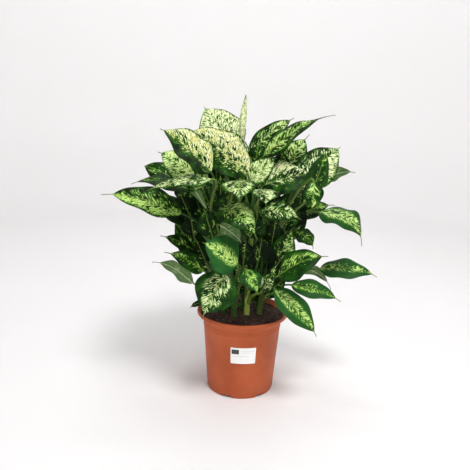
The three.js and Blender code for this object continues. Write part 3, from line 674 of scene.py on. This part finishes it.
class LeafMarks:
    """The procedural marking of a blade: streaks along its side veins, broken by flecks, inside a margin."""

    def __init__(self, tree):
        along, across = tree.uv("blade")
        u, w = tree.uv("share")
        self.pale, self.tone, self.margin, lean, seed = tree.look()
        v = tree.scaled(w, 2.0, -1.0)
        aside = tree.math("ABSOLUTE", across)
        warp = tree.cells(along, across, seed, CELLS["warp"])
        self.vein = tree.minus(along, tree.times(aside, VEIN["lean"]))
        bent = tree.plus(self.vein, tree.times(tree.minus(warp, 0.5), MARKS["warp"]))
        streaks = tree.cells(bent, across, seed, CELLS["streaks"], detail=3.0, rough=0.6)
        self.patches = tree.cells(along, across, seed, CELLS["patches"])
        level = tree.plus(tree.times(streaks, LEVEL["streaks"]), tree.times(self.patches, LEVEL["patches"]))
        level = tree.scaled(tree.minus(self.pale, 0.5), LEVEL["pale"], level)
        # The lean moves the pale marks to one half; on several leaves it keeps the lower half of a fold dark
        # green, painted shade of the fold
        level = tree.plus(level, tree.times(tree.times(v, lean), LEVEL["lean"]))
        ragged = tree.scaled(tree.minus(streaks, 0.5), MARKS["ragged_margin"], tree.math("ABSOLUTE", v))
        band = tree.minus(tree.minus(1.0, ragged), self.margin)
        inside = tree.times(tree.step(band, *STEPS["inside"]), tree.step(u, *STEPS["before_tip"]))
        flecks = tree.cells(bent, across, seed, CELLS["flecks"], detail=3.0, rough=0.65)
        flecks = tree.minus(flecks, tree.times(level, MARKS["fleck_rise"]))
        unbroken = tree.scaled(tree.step(flecks, *STEPS["fleck"]), MARKS["fleck_depth"], 1.0)
        self.light = tree.times(tree.times(tree.step(level, *STEPS["pale"]), inside), unbroken)
        self.halo = tree.times(tree.step(level, *STEPS["halo"]), tree.step(band, *STEPS["halo_inside"]))
        self.rib = tree.step(tree.plus(aside, tree.times(u, MARKS["rib_taper"])), *STEPS["rib"])
        self.withered = tree.step(u, *STEPS["withered"])
        self.fine = tree.cells(along, across, 0.0, CELLS["fine"])


def upper_skin(tree, marks):
    """Greens, lighter in a wide margin and round the pale marks, and much darker on leaves with few pale
    marks as painted shade; creamy marks are golden in patches.
    """
    green = tree.colour(tree.step(marks.patches, *STEPS["dark_patches"]), "0a1e04", "1f4c09")
    # Leaves with few pale marks get a much darker green: painted shade of the plant's inside
    green = tree.colour(tree.step(marks.pale, *STEPS["painted_shade_few_marks"]), green, "061602")
    green = tree.colour(tree.step(marks.margin, *STEPS["wide_margin"]), green, "255824")
    green = tree.colour(tree.times(marks.halo, 0.6), green, "4a941a")
    bright = tree.colour(marks.tone, "b4dc60", "f5f6c8")
    aged = tree.scaled(tree.step(marks.patches, *STEPS["aged_patches"]), 0.5, 0.2)
    aged = tree.times(aged, tree.step(marks.tone, *STEPS["aged_tone"]))
    bright = tree.colour(aged, bright, "c9be5c")
    colour = tree.colour(marks.light, green, bright)
    colour = tree.colour(tree.times(marks.rib, 0.45), colour, "8fb04c")
    return colour, tree.scaled(marks.patches, 0.16, 0.36)


def under_skin(tree, marks):
    green = tree.colour(marks.patches, "47683c", "6b8b50")
    green = tree.colour(tree.times(marks.light, 0.6), green, "b4c394")
    colour = tree.colour(marks.rib, green, "b7c79a")
    return colour, tree.scaled(marks.patches, 0.15, 0.45)


def leaf_material(name, skin):
    tree = Tree(name)
    marks = LeafMarks(tree)
    colour, roughness = skin(tree, marks)
    colour = tree.colour(tree.times(marks.withered, 0.7), colour, "5c5a38")
    veins = tree.math("SINE", tree.times(marks.vein, 2 * FULL_TURN * DECIMETRE / VEIN["spacing"]))
    tree.bump(tree.plus(tree.times(veins, 0.25), tree.times(marks.fine, 0.35)), 0.0006, 0.6)
    return tree.finish(colour, roughness, 0.1)


def stem_material():
    tree = Tree("stem_skin")
    bright, pale_foot, _, _, seed = tree.look()
    along, around = tree.uv("blade")
    share, _ = tree.uv("share")
    streaks = tree.cells(along, around, seed, (5, 26))
    flecks = tree.noise(tree.place(), 420.0)
    green = tree.colour(bright, "1e4412", "8fae3c")
    light = tree.colour(bright, "335e1e", "c5d070")
    colour = tree.colour(tree.step(streaks, 0.4, 0.65), green, light)
    colour = tree.colour(tree.times(tree.step(flecks, 0.56, 0.66), 0.5), colour, "2c5420")
    foot = tree.times(tree.step(share, 0.3, 0.0), pale_foot)
    colour = tree.colour(tree.times(foot, 0.35), colour, "c9d69a")
    tree.bump(streaks, 0.0005, 0.5)
    return tree.finish(colour, tree.scaled(streaks, 0.2, 0.36), 0.25)


def pot_material():
    """Terracotta-coloured plastic: cloudy, scuffed along its height, dusty near its foot, finely grained."""
    tree = Tree("pot_plastic")
    place = tree.place()
    cloud = tree.noise(place, 14.0, 3.0)
    height = tree.node("SeparateXYZ", {"Vector": place}).outputs[2]
    scuffs = tree.stretched((60, 60, 9), 4.0, 0.7)
    colour = tree.colour(tree.step(cloud, 0.35, 0.65), "b0542f", "c06038")
    colour = tree.colour(tree.times(tree.step(scuffs, 0.62, 0.75), 0.3), colour, "cd7f5c")
    dust = tree.times(tree.step(height, 0.04, 0.0), tree.step(cloud, 0.4, 0.6))
    colour = tree.colour(tree.times(dust, 0.3), colour, "8a4a34")
    tree.bump(tree.noise(place, 900.0), 0.0003, 0.35)
    return tree.finish(colour, tree.scaled(scuffs, 0.25, 0.42), 0.22)


def soil_material():
    """Dark crumbs with a few pale fibres among them."""
    tree = Tree("potting_soil")
    place = tree.place()
    crumbs = tree.noise(place, 260.0, 4.0, 0.7)
    patches = tree.noise(place, 45.0, 3.0)
    colour = tree.colour(tree.step(crumbs, 0.35, 0.68), "150a06", "4c2c1c")
    colour = tree.colour(tree.times(tree.step(patches, 0.45, 0.7), 0.5), colour, "26150f")
    fibres = tree.step(tree.stretched((900, 200, 300), 1.0), 0.64, 0.72)
    colour = tree.colour(tree.times(fibres, 0.8), colour, "a97d62")
    tree.bump(crumbs, 0.002, 0.9)
    return tree.finish(colour, tree.scaled(crumbs, 0.2, 0.75))


def label_material():
    """White paper with a plain dark block and a few thin grey rules that spell nothing."""
    tree = Tree("label_paper")
    x, y = tree.uv("share")

    def block(left, right, low, high, soft=0.012):
        start = tree.step(x, left - soft, left + soft)
        end = tree.step(x, right + soft, right - soft)
        foot = tree.step(y, low - soft, low + soft)
        head = tree.step(y, high + soft, high - soft)
        return tree.times(tree.times(start, end), tree.times(foot, head))

    fibres = tree.noise(tree.place(), 1200.0, 3.0)
    colour = tree.colour(fibres, "f4f4f2", "fbfbfa")
    rules = tree.math("MAXIMUM", block(0.4, 0.94, 0.76, 0.8), block(0.4, 0.9, 0.66, 0.69))
    rules = tree.math("MAXIMUM", rules, block(0.12, 0.7, 0.45, 0.49))
    colour = tree.colour(tree.times(rules, 0.35), colour, "a9adb0")
    colour = tree.colour(block(0.04, 0.33, 0.6, 0.88), colour, "2e3436")
    colour = tree.colour(tree.times(block(0.13, 0.24, 0.69, 0.8, 0.03), 0.3), colour, "5d6466")
    tree.bump(fibres, 0.0001, 0.3)
    return tree.finish(colour, tree.scaled(fibres, 0.1, 0.42))


def stage_material():
    tree = Tree("studio_floor")
    cloud = tree.noise(tree.place(), 3.0)
    return tree.finish(tree.colour(cloud, "f5f3f3", "f8f7f7"), tree.scaled(cloud, 0.1, 0.5), 0.3)


UPPER = leaf_material("leaf_upper_side", upper_skin)
UNDER = leaf_material("leaf_underside", under_skin)
STEM = stem_material()
POT = pot_material()


# Pieces

blades = [Blade(row, look, i) for i, (row, look) in enumerate(zip(LEAVES, LOOKS))]
small_rows = zip(SMALL_LEAVES, SMALL_LOOKS)
small_blades = [Blade(row, look, len(LEAVES) + i) for i, (row, look) in enumerate(small_rows)]


def settle(piece, node):
    """Rides a piece on the part and hides the CAD node that it stands for."""
    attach(piece, "root")
    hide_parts(node)


def leaf(number):
    mesher = Mesher()
    add_blade(mesher, blades[number - 1], 0, 1)
    return mesher.made(f"blade_{number:02d}", [UPPER, UNDER])


def stem(number):
    """A cane with its stalks, and with the small leaves that grow as one with it."""
    mesher = Mesher()
    heights = np.linspace(SOIL_TOP - CANE["buried"], STEMS[number - 1][1][2], CANE["steps"] + 1)
    cane = cane_point(number, heights)
    look = CANE_LOOKS[number - 1]
    add_tube(mesher, cane, cane_radius(number), CANE["sides"], number, 2, look, up=(0, 1, 0))
    grown = [blade for blade in blades + small_blades if blade.stem == number]
    ends = [(blade.base, blade.ahead(np.array(0.0)), blade.index) for blade in grown]
    if number == SPIRE["stem"]:
        base = np.array(SPIRE["base"], float)
        ends.append((base, unit(np.array(SPIRE["bend"], float) - base), SPIRE["index"]))
    for base, ahead, index in ends:
        bright = STALK_LOOK["brightest"] * (math.sin(STALK_LOOK["vary"] * index) * 0.5 + 0.5)
        look = (bright, STALK_LOOK["foot"], 0, 0)
        path = stalk_path(number, base, ahead)
        add_tube(mesher, path, stalk_radius, STALK["sides"], index, 2, look, stalk_groove)
    for blade in small_blades:
        if blade.stem == number:
            add_blade(mesher, blade, 0, 1)
    return mesher.made(f"canes_{number}", [UPPER, UNDER, STEM])


def young_leaf():
    base, bend, tip = (np.array(SPIRE[key], float) for key in ("base", "bend", "tip"))
    t = np.linspace(0, 1, SPIRE["steps"] + 1)[:, None]
    path = (1 - t) ** 2 * base + 2 * t * (1 - t) * bend + t * t * tip

    def radius(share, angles):
        bulge = share ** OUTLINE["rise"] * (1 - share) ** OUTLINE["fall"] / OUTLINE["peak"]
        size = math.hypot(SPIRE["radius"] * bulge, mix(*SPIRE["ends"], share))
        turned = (angles - SCROLL["start"] - SCROLL["turn"] * share) % FULL_TURN
        return size * (1 - SCROLL["overlap"] + SCROLL["overlap"] * turned / FULL_TURN)

    mesher = Mesher()
    add_tube(mesher, path, radius, SPIRE["sides"], SPIRE["seed"], 0, SPIRE["look"])
    return mesher.made("young_leaf", [UPPER])


def lathe(profile, sides):
    """A closed body of revolution, or an open one where its profile ends off the axis."""
    body = bmesh.new()
    angles = [FULL_TURN * i / sides for i in range(sides)]
    rings = []
    for radius, height in profile:
        if radius == 0:
            rings.append([body.verts.new((0, 0, height * MM))])
            continue
        ring = []
        for angle in angles:
            place = (radius * MM * math.sin(angle), -radius * MM * math.cos(angle), height * MM)
            ring.append(body.verts.new(place))
        rings.append(ring)
    for one, other in zip(rings, rings[1:]):
        for i in range(sides):
            k = (i + 1) % sides
            corners = [one[i % len(one)], one[k % len(one)], other[k % len(other)], other[i % len(other)]]
            body.faces.new(list(dict.fromkeys(corners)))
    bmesh.ops.recalc_face_normals(body, faces=body.faces)
    return body


def made_from(body, name, material):
    mesh = bpy.data.meshes.new(name)
    body.to_mesh(mesh)
    body.free()
    mesh.materials.append(material)
    piece = bpy.data.objects.new(name, mesh)
    bpy.context.scene.collection.objects.link(piece)
    return piece


def apply_modifiers(piece):
    shown = piece.evaluated_get(bpy.context.evaluated_depsgraph_get())
    mesh = bpy.data.meshes.new_from_object(shown)
    piece.modifiers.clear()
    piece.data = mesh


def wall_radius(height):
    """Outer radius of the pot's slanting wall."""
    return mix(WALL_FOOT[0], WALL_TOP[0], (height - WALL_FOOT[1]) / (WALL_TOP[1] - WALL_FOOT[1]))


def wall_ribs():
    """The points of the ribs' section on the wall."""
    heights = [(middle + offset, rise) for middle in WALL_RIBS for offset, rise in RIB_SECTION]
    return [(wall_radius(height) + rise, height) for height, rise in heights]


def pot_cutter():
    """Blocks for the notches in the foot ring and rods for the drain holes."""
    cutter = bmesh.new()
    for i in range(NOTCH["count"]):
        turn = Matrix.Rotation(math.radians(NOTCH["first"] + 360 / NOTCH["count"] * i), 4, "Z")
        size = Matrix.Diagonal([NOTCH["width"] * MM, NOTCH["depth"] * MM, 2 * NOTCH["height"] * MM, 1])
        at = turn @ Matrix.Translation((0, -FOOT_RING * MM, 0))
        bmesh.ops.create_cube(cutter, size=1, matrix=at @ size)
    rod = {"segments": DRAIN["sides"], "radius1": DRAIN["radius"] * MM, "radius2": DRAIN["radius"] * MM}
    for i in range(DRAIN["count"]):
        turn = Matrix.Rotation(math.radians(DRAIN["first"] + 360 / DRAIN["count"] * i), 4, "Z")
        at = turn @ Matrix.Translation((0, -DRAIN["circle"] * MM, 0))
        bmesh.ops.create_cone(cutter, cap_ends=True, depth=DRAIN["height"] * MM, matrix=at, **rod)
    return made_from(cutter, "pot_cutter", POT)


def pot():
    knife = pot_cutter()
    piece = made_from(lathe(POT_FOOT + wall_ribs() + POT_LIP + POT_INSIDE, POT_SIDES), "nursery_pot", POT)
    cut = piece.modifiers.new("cut", "BOOLEAN")
    cut.object = knife
    cut.operation = "DIFFERENCE"
    cut.solver = "EXACT"
    apply_modifiers(piece)
    bpy.data.objects.remove(knife)
    soft = piece.modifiers.new("soft", "BEVEL")
    soft.width = SOFTENING["width"] * MM
    soft.segments = SOFTENING["segments"]
    soft.limit_method = "ANGLE"
    soft.angle_limit = math.radians(SOFTENING["from_angle"])
    apply_modifiers(piece)
    smooth(piece)
    piece.data.set_sharp_from_angle(angle=math.radians(SHARP_FROM))
    return piece


def label():
    """A thin curved plate just off the wall."""
    mesher = Mesher()
    columns, rows = LABEL["columns"], LABEL["rows"]
    x, y = np.meshgrid(np.linspace(0, 1, columns + 1), np.linspace(0, 1, rows + 1), indexing="ij")
    angle = FULL_TURN / LABEL["facets"] * mix(LABEL["first"], LABEL["last"], x)
    height = mix(LABEL["bottom"], LABEL["top"], y)
    share = np.stack([x, y], -1)
    firsts = []
    for layer in (0, 1):
        radius = wall_radius(height) + LABEL["gap"] + LABEL["thickness"] * layer
        places = np.stack([radius * np.sin(angle), -radius * np.cos(angle), height], -1)
        firsts.append(mesher.grid(places, share, share, (0, 0, 0, 0), 0, 0, layer == 0))
    mesher.join(*firsts, rim(columns + 1, rows + 1), 0)
    return mesher.made("paper_label", [label_material()])


def soil_height(x, y):
    at = Vector((x / LUMP["width"], y / LUMP["width"], LUMP["layer"]))
    lumps = sum(height * noise.noise(at * fineness) for height, fineness in SOIL_LUMPS)
    return SOIL_TOP - SOIL_DISH * (x * x + y * y) / SOIL_EDGE**2 + lumps


def soil_ring(body, radius, height=None):
    """A ring of points at a height, or on the soil's surface."""
    ring = []
    for i in range(SOIL_SIDES):
        angle = FULL_TURN * i / SOIL_SIDES
        x, y = radius * math.sin(angle), -radius * math.cos(angle)
        z = soil_height(x, y) if height is None else height
        ring.append(body.verts.new((x * MM, y * MM, z * MM)))
    return ring


def add_crumb(body, random):
    radius = CRUMB["spread"] * math.sqrt(random.random())
    angle = FULL_TURN * random.random()
    x, y = radius * math.sin(angle), -radius * math.cos(angle)
    size = (CRUMB["least"] + CRUMB["range"] * random.random() ** CRUMB["rarity"]) * MM
    place = Matrix.Translation((x * MM, y * MM, soil_height(x, y) * MM))
    turn = CRUMB["turn"] * random.random()
    turned = Matrix.Rotation(turn, 4, Vector(random.random(3) - 0.5).normalized())
    width, height = (least + more * random.random() for least, more in (CRUMB["width"], CRUMB["height"]))
    shape = Matrix.Diagonal([size, size * width, size * height, 1])
    crumb = bmesh.ops.create_icosphere(body, subdivisions=1, radius=1, matrix=place @ turned @ shape)
    for vert in crumb["verts"]:
        vert.co += Vector(random.random(3) - 0.5) * size * CRUMB["raggedness"]


def soil():
    """A lumpy filling with loose crumbs on it."""
    body = bmesh.new()
    rings = [soil_ring(body, radius, height) for radius, height in SOIL_UNDERSIDE[1:]]
    rings += [soil_ring(body, SOIL_EDGE * (1 - i / (SOIL_RINGS + 1))) for i in range(SOIL_RINGS + 1)]
    bottom = body.verts.new((0, 0, SOIL_UNDERSIDE[0][1] * MM))
    top = body.verts.new((0, 0, soil_height(0, 0) * MM))
    for i in range(SOIL_SIDES):
        k = (i + 1) % SOIL_SIDES
        body.faces.new([bottom, rings[0][k], rings[0][i]])
        body.faces.new([rings[-1][i], rings[-1][k], top])
        for one, other in zip(rings, rings[1:]):
            body.faces.new([one[i], one[k], other[k], other[i]])
    random = np.random.default_rng(CRUMB["seed"])
    for _ in range(CRUMB["count"]):
        add_crumb(body, random)
    bmesh.ops.recalc_face_normals(body, faces=body.faces)
    return smooth(made_from(body, "potting_mix", soil_material()))


for number in range(1, len(LEAVES) + 1):
    settle(leaf(number), f"leaf_{number:02d}")
for number in range(1, len(STEMS) + 1):
    settle(stem(number), f"stem_{number}")
settle(young_leaf(), "spire")
settle(pot(), "pot")
settle(label(), "label")
settle(soil(), "soil")


# Studio, lights and camera


def studio():
    centre = STUDIO["radius"] - STUDIO["bend"]
    profile = [(0, 0)]
    for a in np.linspace(0, math.pi / 2, STUDIO["arc_steps"] + 1):
        profile.append((centre + STUDIO["bend"] * math.sin(a), STUDIO["bend"] * (1 - math.cos(a))))
    profile.append((STUDIO["radius"], STUDIO["height"]))
    smooth(made_from(lathe(profile, STUDIO["sides"]), "studio", stage_material()))


def area_light(name, place, aim, size, power):
    data = bpy.data.lights.new(name, "AREA")
    data.shape = "DISK"
    data.size = size
    data.energy = power
    light = bpy.data.objects.new(name, data)
    light.location = place
    light.rotation_euler = (Vector(aim) - Vector(place)).to_track_quat("-Z", "Y").to_euler()
    bpy.context.scene.collection.objects.link(light)


def sky():
    world = bpy.data.worlds.new("studio_world")
    world.use_nodes = True
    background = world.node_tree.nodes["Background"]
    background.inputs["Color"].default_value = SKY["colour"]
    background.inputs["Strength"].default_value = SKY["strength"]
    bpy.context.scene.world = world
    bpy.context.scene.view_settings.view_transform = "Standard"


def camera():
    yaw, down, roll = (math.radians(a) for a in (CAMERA_YAW, CAMERA_DOWN, CAMERA_ROLL))
    ahead = Vector((math.sin(yaw) * math.cos(down), math.cos(yaw) * math.cos(down), -math.sin(down)))
    level = ahead.cross(Vector((0, 0, 1))).normalized()
    upright = level.cross(ahead)
    right = level * math.cos(roll) + upright * math.sin(roll)
    up = upright * math.cos(roll) - level * math.sin(roll)
    data = bpy.data.cameras.new("camera")
    data.sensor_width = SENSOR
    data.lens = FOCAL * SENSOR
    shot = bpy.data.objects.new("camera", data)
    shot.matrix_world = Matrix.Translation(CAMERA_AT) @ Matrix((right, up, -ahead)).transposed().to_4x4()
    bpy.context.scene.collection.objects.link(shot)
    bpy.context.scene.camera = shot


studio()
for light in LIGHTS:
    area_light(*light)
sky()
camera()
